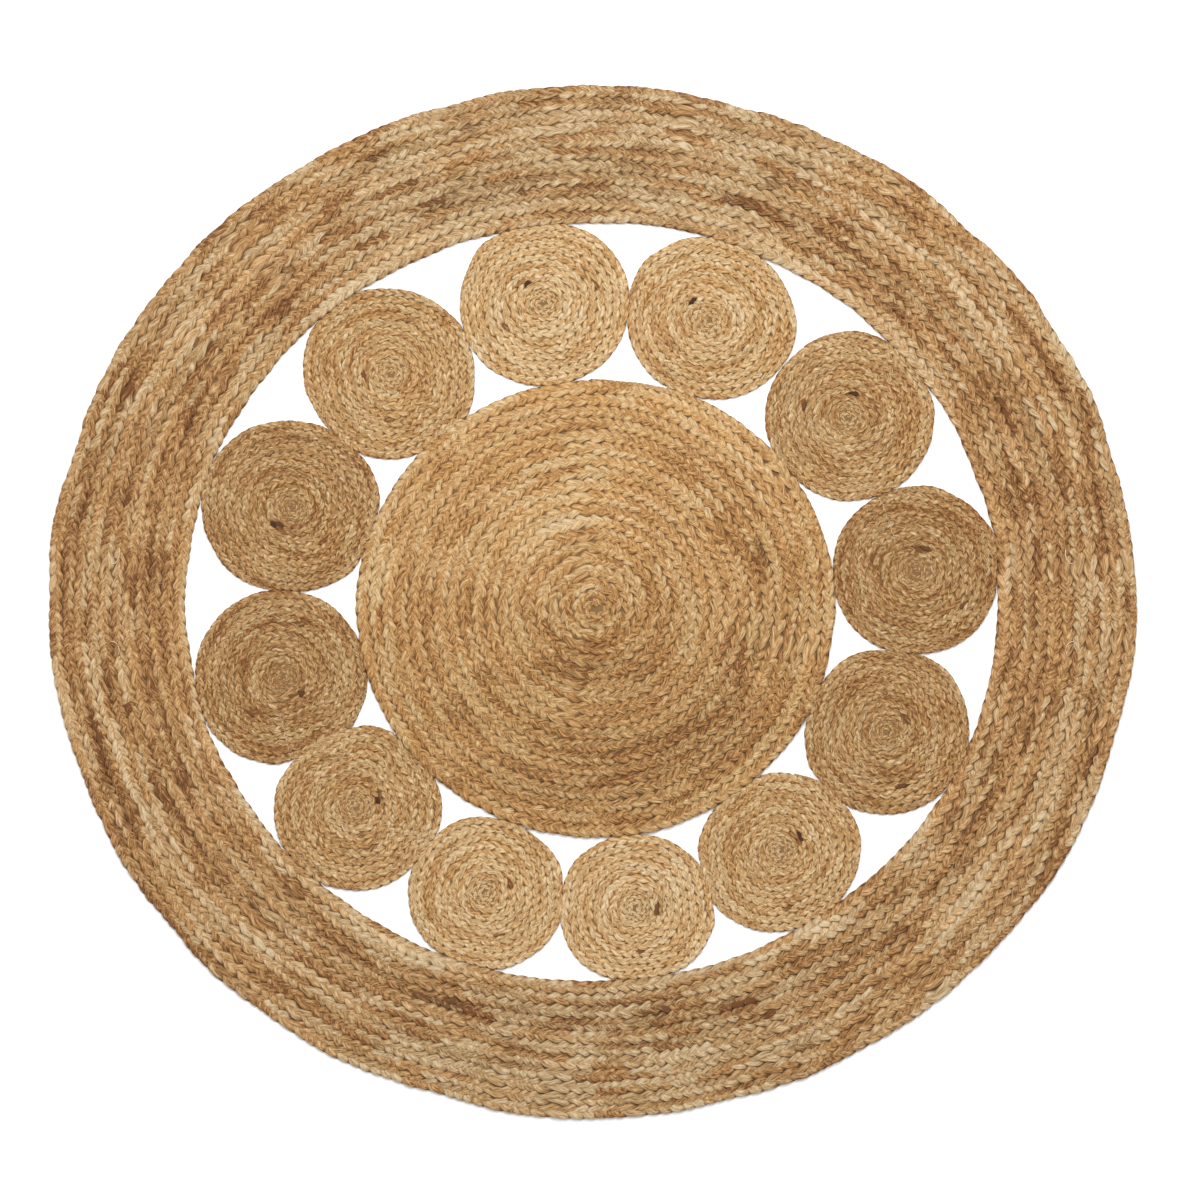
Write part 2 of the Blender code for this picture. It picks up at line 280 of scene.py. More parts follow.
def strands_to_mesh(name, points, dye_and_shade_height, closed, rng):
    """Joins the rings of points of each strand with four-sided faces, and closes open ends. The
    strands' dye holds tone, warmth and the braid's thickness, by which the painted crevice shade is set."""
    strands, count, sides, _ = points.shape
    index = np.arange(strands * count * sides).reshape(strands, count, sides)
    a = index if closed else index[:, :-1]
    b = np.roll(index, -1, axis=1) if closed else index[:, 1:]
    quads = np.stack([a, b, np.roll(b, -1, axis=2), np.roll(a, -1, axis=2)], axis=-1).reshape(-1, 4)
    corners = quads.reshape(-1)
    sizes = np.full(len(quads), 4)
    if not closed:
        caps = np.concatenate([index[:, 0], index[:, -1, ::-1]])
        corners = np.concatenate([corners, caps.reshape(-1)])
        sizes = np.concatenate([sizes, np.full(len(caps), sides)])
    mesh = bpy.data.meshes.new(name)
    mesh.vertices.add(points.size // 3)
    mesh.vertices.foreach_set("co", points.reshape(-1))
    mesh.loops.add(len(corners))
    mesh.loops.foreach_set("vertex_index", corners)
    mesh.polygons.add(len(sizes))
    mesh.polygons.foreach_set("loop_start", np.concatenate([[0], np.cumsum(sizes)[:-1]]))
    mesh.update(calc_edges=True)
    mesh.shade_smooth()

    # The fibres' own map: metres along the strand, and metres round it, each strand shifted by a
    # random way. The faces that close a loop or a tube take the map on past its end.
    step = float(np.linalg.norm(np.diff(points[0].mean(1), axis=0), axis=1).mean())
    girth = float(np.linalg.norm(points[0] - np.roll(points[0], 1, axis=1), axis=2).sum(1).mean())
    run = np.broadcast_to(np.arange(count)[None, :, None], index.shape).reshape(-1)[corners].astype(float)
    turn = (np.tile(np.arange(sides), strands * count) / sides)[corners]
    own = run[: len(quads) * 4].reshape(-1, 4)
    wraps = (own.max(1) - own.min(1)) > 1.5
    own[wraps] = np.where(own[wraps] < 1.5, own[wraps] + count, own[wraps])
    own = turn[: len(quads) * 4].reshape(-1, 4)
    wraps = (own.max(1) - own.min(1)) > 0.5
    own[wraps] = np.where(own[wraps] < 0.25, own[wraps] + 1.0, own[wraps])
    shift = np.repeat(rng.uniform(0.0, 9.0, strands), count * sides)[corners]
    uv = mesh.uv_layers.new(name="fibre")
    uv.data.foreach_set("uv", np.stack([run * step, turn * girth + shift], axis=1).reshape(-1))

    shown = np.ones((strands, count, sides, 4))
    shown[..., :2] = dye_and_shade_height[:, :, None, :2]
    # Blue: height as a share of the braid's thickness, which the material turns into painted shade low
    # between the strands.
    shown[..., 2] = points[..., 2] / dye_and_shade_height[:, :, None, 2]
    colour = mesh.attributes.new("dye_and_shade_height", "FLOAT_COLOR", "POINT")
    colour.data.foreach_set("color", np.clip(shown, -1.0, 1.0).reshape(-1))
    return mesh


# Length along the strand and width across it in metres, detail, and weight in the shade, of the
# streaks made by bundles of fibre, by single fibres and by blotches.
STREAKS = (
    (0.011, 0.0016, 2.0, 1.05),
    (0.005, 0.0008, 1.0, 1.10),
    (0.007, 0.004, 1.0, 0.25),
)
COOL, WARM = (0.95, 1.02, 1.12, 1.0), (1.06, 0.965, 0.85, 1.0)
# Painted shade: the tint that darkens the jute low between the strands, where shade falls, and white where
# no shade is painted.
CREVICE_SHADE_TINT, UNSHADED = (0.42, 0.29, 0.20, 1.0), (1.0, 1.0, 1.0, 1.0)
CREVICE_SHADE_FADE = (0.44, 0.70)  # shares of the braid's thickness between which the crevices fade out
FACES_UP = (-0.35, -0.05)  # the normal's height, between a side that faces down and the others
BARK_TONE, BARK_LEFT = (-0.7, 0.0), 0.3  # bark flecks, whose tone is below 0, are darker still
DULL, SILKY = 0.92, 0.70  # roughness in the dips and on the crests of the fibre bundles


def bare_material(name, shine):
    """A new material, its nodes and links, and its shader with the given specular level."""
    material = bpy.data.materials.new(name)
    material.use_nodes = True
    shader = material.node_tree.nodes["Principled BSDF"]
    shader.inputs["Specular IOR Level"].default_value = shine
    return material, material.node_tree.nodes, material.node_tree.links, shader


def add_relief(nodes, links, shader, height, strength, distance):
    """Relief of the given depth in metres from the values of one socket."""
    bump = nodes.new("ShaderNodeBump")
    bump.inputs["Strength"].default_value = strength
    bump.inputs["Distance"].default_value = distance
    links.new(height, bump.inputs["Height"])
    links.new(bump.outputs["Normal"], shader.inputs["Normal"])


def jute(name, dark, middle, light):
    """Dry jute. The dye's red picks the tone, its green turns it from greyish to orange, and its
    blue, the height in the braid, darkens it between the strands as painted shade. That depth is measured
    from the
    side that faces: height where a face looks up or sideways, and 1 - height where it looks down.
    A shade below 0 is bark, and darker still. Noise drawn out along the fibre map makes streaks of
    shade, of roughness and of relief."""
    material, nodes, links, shader = bare_material(name, 0.35)
    fibre = nodes.new("ShaderNodeUVMap")
    fibre.uv_map = "fibre"

    def streaks(long, thin, detail):
        sizes = nodes.new("ShaderNodeMapping")
        sizes.inputs["Scale"].default_value = (1.0 / long, 1.0 / thin, 1.0)
        noise = nodes.new("ShaderNodeTexNoise")
        noise.noise_dimensions = "2D"
        noise.inputs["Scale"].default_value = 1.0
        noise.inputs["Detail"].default_value = detail
        links.new(fibre.outputs["UV"], sizes.inputs["Vector"])
        links.new(sizes.outputs["Vector"], noise.inputs["Vector"])
        return noise.outputs["Fac"]

    def joined(operation, first, second, third=None):
        sum_node = nodes.new("ShaderNodeMath")
        sum_node.operation = operation
        for socket, value in zip(sum_node.inputs, (first, second, third)):
            if isinstance(value, float):
                socket.default_value = value
            elif value is not None:
                links.new(value, socket)
        return sum_node.outputs["Value"]

    def ranged(value, low, high, to_low, to_high):
        spread = nodes.new("ShaderNodeMapRange")
        spread.interpolation_type = "SMOOTHSTEP"
        for socket, limit in zip(("From Min", "From Max", "To Min", "To Max"), (low, high, to_low, to_high)):
            spread.inputs[socket].default_value = limit
        links.new(value, spread.inputs["Value"])
        return spread.outputs["Result"]

    def tinted(blend, share, first, second):
        mix = nodes.new("ShaderNodeMix")
        mix.data_type = "RGBA"
        mix.blend_type = blend
        for socket, value in (("Factor", share), (6, first), (7, second)):
            if isinstance(value, (float, tuple)):
                mix.inputs[socket].default_value = value
            else:
                links.new(value, mix.inputs[socket])
        return mix.outputs[2]

    dye_and_shade_height = nodes.new("ShaderNodeAttribute")
    dye_and_shade_height.attribute_name = "dye_and_shade_height"
    parts = nodes.new("ShaderNodeSeparateColor")
    links.new(dye_and_shade_height.outputs["Color"], parts.inputs["Color"])
    shade, warm, height = parts.outputs["Red"], parts.outputs["Green"], parts.outputs["Blue"]

    # The noises' mean is a half, so half of the sum of their weights is taken off again.
    layers = [streaks(long, thin, detail) for long, thin, detail, _ in STREAKS]
    bundles, hairs, _ = layers
    tone = shade
    for layer, (_, _, _, weight) in zip(layers, STREAKS):
        tone = joined("MULTIPLY_ADD", layer, weight, tone)
    tone = joined("SUBTRACT", tone, sum(weight for _, _, _, weight in STREAKS) / 2.0)
    ramp = nodes.new("ShaderNodeValToRGB")
    ramp.color_ramp.elements[0].color = (*dark, 1.0)
    ramp.color_ramp.elements[1].color = (*light, 1.0)
    mid = ramp.color_ramp.elements.new(0.5)
    mid.color = (*middle, 1.0)
    links.new(tone, ramp.inputs["Fac"])
    colour = tinted("MULTIPLY", 1.0, ramp.outputs["Color"], tinted("MIX", warm, COOL, WARM))

    # Painted shade in the crevices: faces low in the braid, measured from the side they look to, are
    # darkened towards the crevice tint.
    facing = nodes.new("ShaderNodeSeparateXYZ")
    links.new(nodes.new("ShaderNodeNewGeometry").outputs["Normal"], facing.inputs["Vector"])
    upward = ranged(facing.outputs["Z"], *FACES_UP, 0.0, 1.0)
    below = joined("SUBTRACT", 1.0, height)
    twice = joined("MULTIPLY_ADD", height, 2.0, -1.0)
    depth = ranged(joined("MULTIPLY_ADD", upward, twice, below), *CREVICE_SHADE_FADE, 0.0, 1.0)
    colour = tinted("MULTIPLY", 1.0, colour, tinted("MIX", depth, CREVICE_SHADE_TINT, UNSHADED))
    colour = tinted("MULTIPLY", 1.0, colour, ranged(shade, *BARK_TONE, BARK_LEFT, 1.0))
    links.new(colour, shader.inputs["Base Color"])
    links.new(ranged(bundles, 0.3, 0.7, DULL, SILKY), shader.inputs["Roughness"])
    add_relief(nodes, links, shader, joined("MULTIPLY_ADD", hairs, 0.5, bundles), 0.75, 0.0009)
    return material


def add_piece(name, mesh, material, slot, *nodes):
    """Puts a finished mesh into the scene, on the rug's one body, in place of its solids."""
    mesh.materials.append(material)
    piece = bpy.data.objects.new(name, mesh)
    bpy.context.scene.collection.objects.link(piece)
    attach(piece, "root")
    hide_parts(*nodes)
    return piece


ring_low, ring_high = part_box("outer_ring")
ring_half_wide = (ring_high.x - ring_low.x - RING_BAND) / 2.0
ring_half_deep = (ring_high.y - ring_low.y - RING_BAND) / 2.0


def beside_oval(bearing, beside):
    """Points and outward normals at the given distances beside the oval along the band's middle."""
    across = ring_half_deep * np.cos(bearing)
    ahead = ring_half_wide * np.sin(bearing)
    size = np.hypot(across, ahead)
    normal = np.stack([across / size, ahead / size], axis=1)
    middle = np.stack([ring_half_wide * np.cos(bearing), ring_half_deep * np.sin(bearing)], axis=1)
    return middle + np.reshape(beside, (-1, 1)) * normal, normal


def quarter(bearing):
    """A bearing in degrees, folded into the first quarter: the wear and the stains of the band
    repeat from quarter to quarter."""
    folded = np.abs(np.degrees(bearing)) % 180.0
    return np.minimum(folded, 180.0 - folded)


def row_border(row, bearing):
    """Distance from the band's middle line to the border inside a row: even steps, uneven by two
    drifts, of 110 and 40 values round the ring, that two neighbouring rows share, and pulled in
    where the outer edge dips."""
    rng = np.random.default_rng(40 + row)
    free = 0.5 if row in (0, RING_ROWS) else 1.0
    turns = bearing / TURN
    uneven = 0.7 * drift(turns * 110, rng, 110) + 0.6 * drift(turns * 40, rng, 40)
    dips = sum(hill(quarter(bearing), dip, DIP_HALF) for dip in EDGE_DIPS)
    pulled = EDGE_DIP * dips * smooth_step(row / RING_ROWS)
    return row * MAIN_PITCH - RING_BAND / 2.0 + UNEVEN * MAIN_PITCH * free * uneven - pulled


# Bearing in a quarter, depth from the outer edge in millimetres, half length in degrees, half depth
# in millimetres, shade and warmth of each stained stretch.
RING_STAINS = (
    (19.0, 27.0, 13.0, 9.0, -0.30, 0.36),
    (30.0, 50.0, 25.0, 12.0, 0.09, -0.12),
    (13.5, 70.0, 0.9, 5.0, -0.50, 0.10),
    (25.5, 73.0, 7.5, 6.0, -0.20, 0.30),
    (28.5, 97.0, 5.5, 12.0, -0.16, 0.30),
    (37.0, 88.0, 0.8, 6.0, -0.36, 0.0),
    (42.0, 88.0, 0.8, 6.0, -0.32, 0.0),
    (49.0, 88.0, 0.8, 6.0, -0.32, 0.0),
    (45.0, 116.0, 1.5, 7.0, -0.28, 0.0),
    (54.0, 35.0, 7.0, 6.0, -0.08, 0.35),
    (65.5, 33.0, 1.5, 7.0, -0.26, -0.28),
    (77.0, 33.0, 0.9, 7.0, -0.26, -0.28),
    (68.0, 75.0, 0.8, 6.0, -0.36, 0.0),
    (70.0, 103.0, 3.0, 7.0, -0.28, -0.2),
    (81.0, 114.0, 1.0, 7.0, -0.28, -0.2),
    (10.0, 109.0, 14.0, 36.0, -0.02, 0.24),
    (82.0, 70.0, 17.0, 75.0, 0.0, -0.32),
    (32.0, 100.0, 12.0, 14.0, 0.04, 0.25),
    (48.0, 63.0, 13.0, 9.0, 0.09, 0.05),
    (60.0, 139.0, 8.0, 9.0, 0.18, 0.0),
    (75.0, 64.0, 4.0, 8.0, 0.16, 0.0),
    (13.0, 63.0, 12.0, 9.0, -0.10, 0.08),
)


def ring_shade(places):
    """The band's smooth shade and warmth, and apart from them its charted stains: a darker, warmer
    belt about 105 mm in from the outer edge, a paler innermost row, and more warmth at the rug's
    sides than at its top and bottom."""
    x, y = places[..., 0], places[..., 1]
    bearing = np.arctan2(y / (ring_half_deep + 0.02), x / (ring_half_wide + 0.02))
    out = np.hypot(x / (ring_half_wide + RING_BAND / 2), y / (ring_half_deep + RING_BAND / 2))
    depth = 1000.0 * (1.0 - out) * (ring_half_wide + ring_half_deep + RING_BAND) / 2
    belt = hill(depth, 105.0, 24.0)
    side = np.cos(2.0 * bearing)
    inmost = hill(depth, 142.0, 9.0)
    smooth = (-0.12 * belt + 0.07 * inmost - 0.01 * side + 0.01, 0.16 * belt + 0.16 * side + 0.05)
    return smooth, stained(quarter(bearing), depth, RING_STAINS)


ring_jute = jute("ring_jute", (0.126, 0.0492, 0.0132), (0.381, 0.226, 0.0921), (0.592, 0.427, 0.242))
fine = np.linspace(0.0, TURN, 6001)
ring_phases = []
plain_phase = None
for row in range(RING_ROWS):
    line, _ = beside_oval(fine, (row + 0.5) * MAIN_PITCH - RING_BAND / 2.0)
    run = np.concatenate([[0.0], np.cumsum(np.linalg.norm(np.diff(line, axis=0), axis=1))])
    braids = round(run[-1] / (3.0 * MAIN_LOBE))
    inner_plain = plain_phase
    rng = np.random.default_rng(60 + row)
    stretch = STRETCH * drift(fine / TURN * STRETCHES, rng, STRETCHES)
    plain_phase = TURN * braids * run / run[-1]
    first = drift(fine / TURN * FIRST_STRETCHES, rng, FIRST_STRETCHES)
    phase = plain_phase + LOBE_TURN * FIRST_STRETCH * first
    if row:
        lobes = 3.0 * (plain_phase - inner_plain) / TURN + ROW_SHIFT * row
        gained = lobes_gained(lobes, SLIP) - lobes_gained(lobes[:1], SLIP)
        phase = ring_phases[-1] + LOBE_TURN * (gained + stretch)
    ring_phases.append(phase)

for row, phase in enumerate(ring_phases):
    count = STEPS_A_BRAID * round((phase[-1] - phase[0]) / TURN)
    even = phase[0] + np.arange(count) * TURN / STEPS_A_BRAID
    at = np.interp(even, phase, fine)
    inner_border, outer_border = row_border(row, at), row_border(row + 1, at)
    line, normal = beside_oval(at, (inner_border + outer_border) / 2.0)
    waves = [FREE_SCALLOP * MAIN_PITCH * edge_wave(even)] * 2
    for edge, neighbour in enumerate((row - 1, row + 1)):
        if 0 <= neighbour < RING_ROWS:
            beyond = np.interp(at, fine, ring_phases[neighbour])
            waves[edge] = ZIGZAG * MAIN_PITCH * shared_wave(beyond, even)
    course = (line, normal, outer_border - inner_border, even, *waves)
    name = f"ring_row_{row + 1:02d}"
    mesh = braid_mesh(name, course, np.full(count, MAIN_THICK), True, STRAND, 1.0, ring_shade, 100 + row)
    add_piece(name, mesh, ring_jute, "ring_jute", "outer_ring")


# ---- The large coil --------------------------------------------------------------------------
# One braid of the same kind, wound flat from a tight start outwards, counter-clockwise seen from
# above, each turn sewn to the last. Its end tapers off against the rim.

CENTRE_COIL = {
    "pitch": 0.0136,  # width of a row
    "thickness": MAIN_THICK,
    "lobe": 0.0135,  # length of one lobe along its row
    "knot": 1.3,  # rows from the middle within which the braid is thinner
    "start_width": 0.65,  # its width there, in rows
    "zigzag": 0.20,  # reach of the lobes into the dips of the next row
    "slip": 0.6,  # part of a lobe's length in which it slips past one of the row inside
    "strand": STRAND,
    "mottle": 0.70,  # how much the shade varies from lobe to lobe
    "steps": STEPS_A_BRAID,
}
CENTRE_END = 92.0  # bearing of the braid's end, in degrees
TAIL_TURNS = 2 / 18  # length of a coil's tapered tail
LEAST_WIDTH = 0.25  # width of the braid at the tip of the tail, in rows
FINE_STEPS = 480  # steps in a turn, before the braid's own steps are laid out
RIM_HEIGHT = 0.0036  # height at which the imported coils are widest
SPARE_LOBES = 0.382  # what a turn has beyond a whole number of lobes more than the one inside it

# In thin braid, lobes shorten with this power of the width, and the height with the other.
SHORTER_POWER, LOWER_POWER = 0.6, 0.5
NARROW, BROAD, LOW = 0.45, 1.1, 0.3  # limits of the width, in rows, for the lobes and the height

# Lobes by which a wound braid is stretched here and there: in step with the turn inside it, at 16
# places a turn, and on its own, at every other full turn of its strands.
SHARED_STRETCH, OWN_STRETCH = 0.22, 0.14


def coil_edge(winding, knot, start_width):
    """Radius, in rows, of the border that winds round between one turn and the next. Inside the
    knot the braid is thinner, so the border grows by start_width rows a turn there."""
    return np.where(winding < 1.0, knot - start_width * (1.0 - winding), knot + winding - 1.0)


def coil_rim(node):
    """The middle of a packed coil, and the bearings and distances of its rim's corners from it."""
    corners = np.array([v.co[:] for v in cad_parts[node].data.vertices])
    low, high = corners.min(0), corners.max(0)
    crest = corners[corners[:, 2] > high[2] - 1e-5][:, :2]
    middle = crest[np.argmin(np.linalg.norm(crest - (low + high)[:2] / 2.0, axis=1))]
    rim = np.unique(np.round(corners[np.abs(corners[:, 2] - RIM_HEIGHT) < 1e-4][:, :2], 6), axis=0) - middle
    bearing = np.arctan2(rim[:, 1], rim[:, 0])
    order = np.argsort(bearing)
    return middle, bearing[order], np.linalg.norm(rim, axis=1)[order]


def coil_rows(rim, coil, end_angle, seed):
    """A wound braid's winding, counted in turns, with its middle line and its widths.

    In each direction the rows are scaled alike, so that the last one ends at the solid's rim. In the
    tail the last row narrows evenly, down to its least width. The borders are uneven by two drifts,
    of 9 and 23 values a turn.
    """
    middle, rim_bearing, rim_radius = rim
    pitch, knot, start_width = coil["pitch"], coil["knot"], coil["start_width"]
    steps = len(rim_bearing)
    turns = round((rim_radius.mean() / pitch - knot + 0.5) * steps) / steps
    start = 1.0 - knot / start_width

    winding = np.linspace(start, turns, int((turns - start) * FINE_STEPS))
    angle = math.radians(end_angle) + TURN * (winding - turns)
    direction = np.stack([np.cos(angle), np.sin(angle)], axis=1)
    wrapped = (angle + math.pi) % TURN - math.pi
    radius = np.interp(wrapped, rim_bearing, rim_radius, period=TURN)
    back = (turns - winding) % 1.0
    rows_inside = coil_edge(turns - back, knot, start_width)
    tail = np.minimum(1.0, back / TAIL_TURNS)
    rows_at_rim = rows_inside + (coil_edge(turns - back + 1.0, knot, start_width) - rows_inside) * tail
    scale = radius / rows_at_rim

    def border(at):
        rng = np.random.default_rng(seed)
        settled = np.clip(at, 0.0, 1.0)
        uneven = UNEVEN * pitch * settled * (0.8 * drift(at * 9.0, rng) + 0.6 * drift(at * 23.0, rng))
        return coil_edge(at, knot, start_width) * scale + uneven

    inner = border(winding)
    outer = np.where(winding > turns - 1.0, radius, border(winding + 1.0))
    wide = np.maximum(outer - inner, LEAST_WIDTH * pitch)
    return winding, middle + ((inner + outer) / 2.0)[:, None] * direction, wide


def coil_phase(winding, line, wide, coil, seed):
    """The phase along a wound braid. It grows with the length, faster where the braid is thin, and
    follows the turn inside it as rows of a ring do. A turn has a whole number and 0.382 lobes more
    than the one inside it, which spreads the slips."""
    start, turns = winding[0], winding[-1]
    step = np.concatenate([[0.0], np.linalg.norm(np.diff(line, axis=0), axis=1)])
    local_lobe = coil["lobe"] * np.clip(wide / coil["pitch"], NARROW, BROAD) ** SHORTER_POWER
    plain = np.cumsum(step / (3.0 * local_lobe)) * TURN
    ends = np.interp((turns, turns - 1.0, turns - 2.0), winding, plain)
    more = 3.0 * (ends[0] - 2.0 * ends[1] + ends[2]) / TURN
    plain *= (round(more - SPARE_LOBES) + SPARE_LOBES) / more
    phase = plain.copy()
    for turn in range(1, math.ceil(turns - start) + 1):
        here = (winding >= start + turn) & (winding < start + turn + 1)
        before = winding[here] - 1.0
        lobes = 3.0 * (plain[here] - np.interp(before, winding, plain)) / TURN
        phase[here] = np.interp(before, winding, phase) + lobes_gained(lobes, coil["slip"]) * TURN / 3.0
        if turn == 1:
            left = start + 2.0 - winding[here]
            phase[here] += left * (phase[winding < start + 1.0][-1] - phase[here][0])

    rng = np.random.default_rng(seed + 1)
    shared = np.minimum(winding - start, 3.0) / 3.0 * drift(winding * 16.0, rng, 16)
    return phase + LOBE_TURN * (SHARED_STRETCH * shared + OWN_STRETCH * drift(plain / TURN * 0.5, rng))


def coil_course(rim, coil, end_angle, seed):
    """The course of a wound braid, at even steps of its phase. Its borders wave with the mean of the
    two rows beside them, only a little at the free rim, and not at all at the start."""
    winding, line, wide = coil_rows(rim, coil, end_angle, seed)
    phase = coil_phase(winding, line, wide, coil, seed)
    start, turns = winding[0], winding[-1]
    count = int((phase[-1] - phase[0]) / TURN * coil["steps"])
    even = phase[0] + np.arange(count) * TURN / coil["steps"]
    w = np.interp(even, phase, winding)
    wide_at = np.interp(w, winding, wide)
    zigzag = coil["zigzag"] * wide_at
    scallop = FREE_SCALLOP * wide_at
    inner_wave, outer_wave = (
        zigzag * shared_wave(np.interp(w + away, winding, phase), even) for away in (-1.0, 1.0)
    )
    inner_wave = np.where(w < start + 1.0, 0.0, inner_wave)
    outer_wave = np.where(w > turns - 1.0, scallop * edge_wave(even), outer_wave)
    line_at = np.stack([np.interp(w, winding, line[:, 0]), np.interp(w, winding, line[:, 1])], axis=1)
    ahead = np.gradient(line_at, axis=0)
    ahead /= np.linalg.norm(ahead, axis=1, keepdims=True)
    normal = np.stack([ahead[:, 1], -ahead[:, 0]], axis=1)
    return line_at, normal, wide_at, even, inner_wave, outer_wave


def add_coil(name, node, rim, coil, end, material, slot, shade, seed):
    """One wound braid. Where it is thin, in the knot and at its tail, it is lower too."""
    course = coil_course(rim, coil, end, seed)
    thick = coil["thickness"] * np.clip(course[2] / coil["pitch"], LOW, 1.0) ** LOWER_POWER
    mesh = braid_mesh(name, course, thick, False, coil["strand"], coil["mottle"], shade, seed)
    add_piece(name, mesh, material, slot, node)


# Bearing, distance from the middle in millimetres, half length in degrees, half depth in
# millimetres, shade and warmth.
CENTRE_STAINS = (
    (229.0, 99.0, 6.0, 20.0, -0.14, 0.10),
    (221.0, 186.0, 9.0, 6.0, -0.26, -0.2),
    (77.0, 170.0, 1.6, 5.0, -0.40, 0.0),
    (93.0, 174.0, 1.4, 5.0, -0.30, 0.1),
    (18.0, 192.0, 7.0, 6.0, -0.22, -0.25),
    (146.0, 181.0, 2.0, 6.0, -0.26, 0.0),
    (157.0, 46.0, 5.0, 4.0, -0.30, 0.1),
    (112.0, 100.0, 32.0, 16.0, 0.08, -0.28),
    (270.0, 243.0, 17.0, 7.0, -0.16, 0.45),
    (107.0, 240.0, 6.0, 8.0, -0.10, 0.40),
    (322.0, 178.0, 34.0, 22.0, -0.10, 0.0),
)


def centre_shade(places):
    """The large coil's smooth shade and warmth, and apart from them its charted stains: paler
    towards the rug's top, darker and warmer about 55 and 198 mm from the middle, and paler in the
    outermost rows."""
    x, y = places[..., 0] - centre_rim[0][0], places[..., 1] - centre_rim[0][1]
    away = 1000.0 * np.hypot(x, y)
    early = hill(away, 55.0, 28.0)
    late = hill(away, 198.0, 22.0)
    uphill = np.minimum(away / 70.0, 1.0) * np.cos(np.arctan2(y, x) - math.radians(100.0))
    rim = hill(away, 246.0, 12.0)
    smooth = (0.13 * uphill - 0.08 * early - 0.06 * late + 0.06 * rim, 0.19 + 0.05 * (early + late))
    return smooth, stained(np.degrees(np.arctan2(y, x)), away, CENTRE_STAINS)


centre_rim = coil_rim("centre_disc")
centre_jute = jute("centre_jute", (0.131, 0.0508, 0.0124), (0.391, 0.228, 0.0856), (0.611, 0.432, 0.227))
add_coil("centre_braid", "centre_disc", centre_rim, CENTRE_COIL, CENTRE_END, centre_jute, "centre_jute",
         centre_shade, 200)


# ---- The small coils -------------------------------------------------------------------------
# Twelve narrower coils of the same braid, laid thinner, sewn between the ring and the large coil.
# All are wound alike and turned each its own way, with a dark scrap of bark caught in the same row.

SMALL_COIL = {
    "pitch": 0.0087,
    "thickness": 0.0065,
    "lobe": 0.0107,
    "knot": 2.0,
    "start_width": 0.6,
    "zigzag": 0.17,
    "slip": 1.0,
    "strand": 0.355,
    "mottle": 1.0,
    "steps": 10,
}
SMALL_ENDS = (175, 231, 272, 5, 63, 59, 49, 79, 85, 123, 125, 174)  # bearings of the coils' ends
TURNED_OVER = (4, 5, 6, 7)  # coils whose chart is mirrored
CHART_END = 48.0  # bearing of the coil's end in the chart

# Bearing in the chart, distance from the middle in millimetres, half length in degrees, half depth
# in millimetres, shade and warmth.
BARK_FLECKS = (
    (0.0, 26.5, 8.0, 3.4, -1.8, 0.1),
    (85.0, 49.0, 4.0, 2.8, -0.9, 0.0),
    (-112.0, 64.0, 3.0, 2.8, -0.9, 0.0),
)

small_jute = jute("small_jute", (0.145, 0.0575, 0.0138), (0.401, 0.241, 0.0972), (0.645, 0.477, 0.270))
small_coils = []
for number, end in enumerate(SMALL_ENDS, start=1):
    node = f"small_disc_{number:02d}"
    small_rim = coil_rim(node)
    hand = -1.0 if number in TURNED_OVER else 1.0
    small_coils.append((small_rim, end, hand))

    def small_shade(places, middle=small_rim[0], end=end, hand=hand):
        """Coils at the rug's top and bottom are paler and a little less warm than those at its
        sides, and all have the chart's flecks of bark."""
        x, y = places[..., 0] - middle[0], places[..., 1] - middle[1]
        bearing = hand * (np.degrees(np.arctan2(y, x)) - end + CHART_END)
        side = math.cos(2.0 * math.atan2(middle[1], middle[0]))
        smooth = (-0.16 * side - 0.01, 0.04 * side + 0.07)
        return smooth, stained(bearing, 1000.0 * np.hypot(x, y), BARK_FLECKS)

    add_coil(f"small_braid_{number:02d}", node, small_rim, SMALL_COIL, end, small_jute, "small_jute",
             small_shade, 300 + number)


# ---- The webs between the strands --------------------------------------------------------------
# Under and between the strands, loose fibre and the sewing threads mat into a thin brown web in
# each part of the rug. It lies flat, and what shows of it is the dark of the crevices: its brown,
# darker than the strands', is partly painted shade.

WEB_INSET = 0.35  # rows between a web's edge and the rim
WEB_FROM, RING_WEB_TO, COIL_WEB_TO = 0.2, 0.5, 0.55  # its underside and top, in the thickness


def web_jute_and_shade(name, colour):
    """Matted fibre in the dark between the strands, its brown partly painted shade: fine crossed noise, dull
    and rough.
    """
    material, nodes, links, shader = bare_material(name, 0.2)
    shader.inputs["Roughness"].default_value = 0.95
    place = nodes.new("ShaderNodeTexCoord")
    noise = nodes.new("ShaderNodeTexNoise")
    noise.inputs["Scale"].default_value = 900.0
    noise.inputs["Detail"].default_value = 3.0
    links.new(place.outputs["Object"], noise.inputs["Vector"])
    ramp = nodes.new("ShaderNodeValToRGB")
    for element, amount in zip(ramp.color_ramp.elements, (0.5, 1.5)):
        element.color = (colour[0] * amount, colour[1] * amount, colour[2] * amount, 1.0)
    links.new(noise.outputs["Fac"], ramp.inputs["Fac"])
    links.new(ramp.outputs["Color"], shader.inputs["Base Color"])
    add_relief(nodes, links, shader, noise.outputs["Fac"], 1.0, 0.0006)
    return material


def sides_to_points(edges, heights):
    """Stacks closed edges, each at its own height, into rings of points: (edge, step, xyz)."""
    flat = np.stack(edges) + sway(np.stack(edges))
    up = np.broadcast_to(np.array(heights)[:, None, None], (*flat.shape[:2], 1))
    return np.concatenate([flat, up], axis=2)


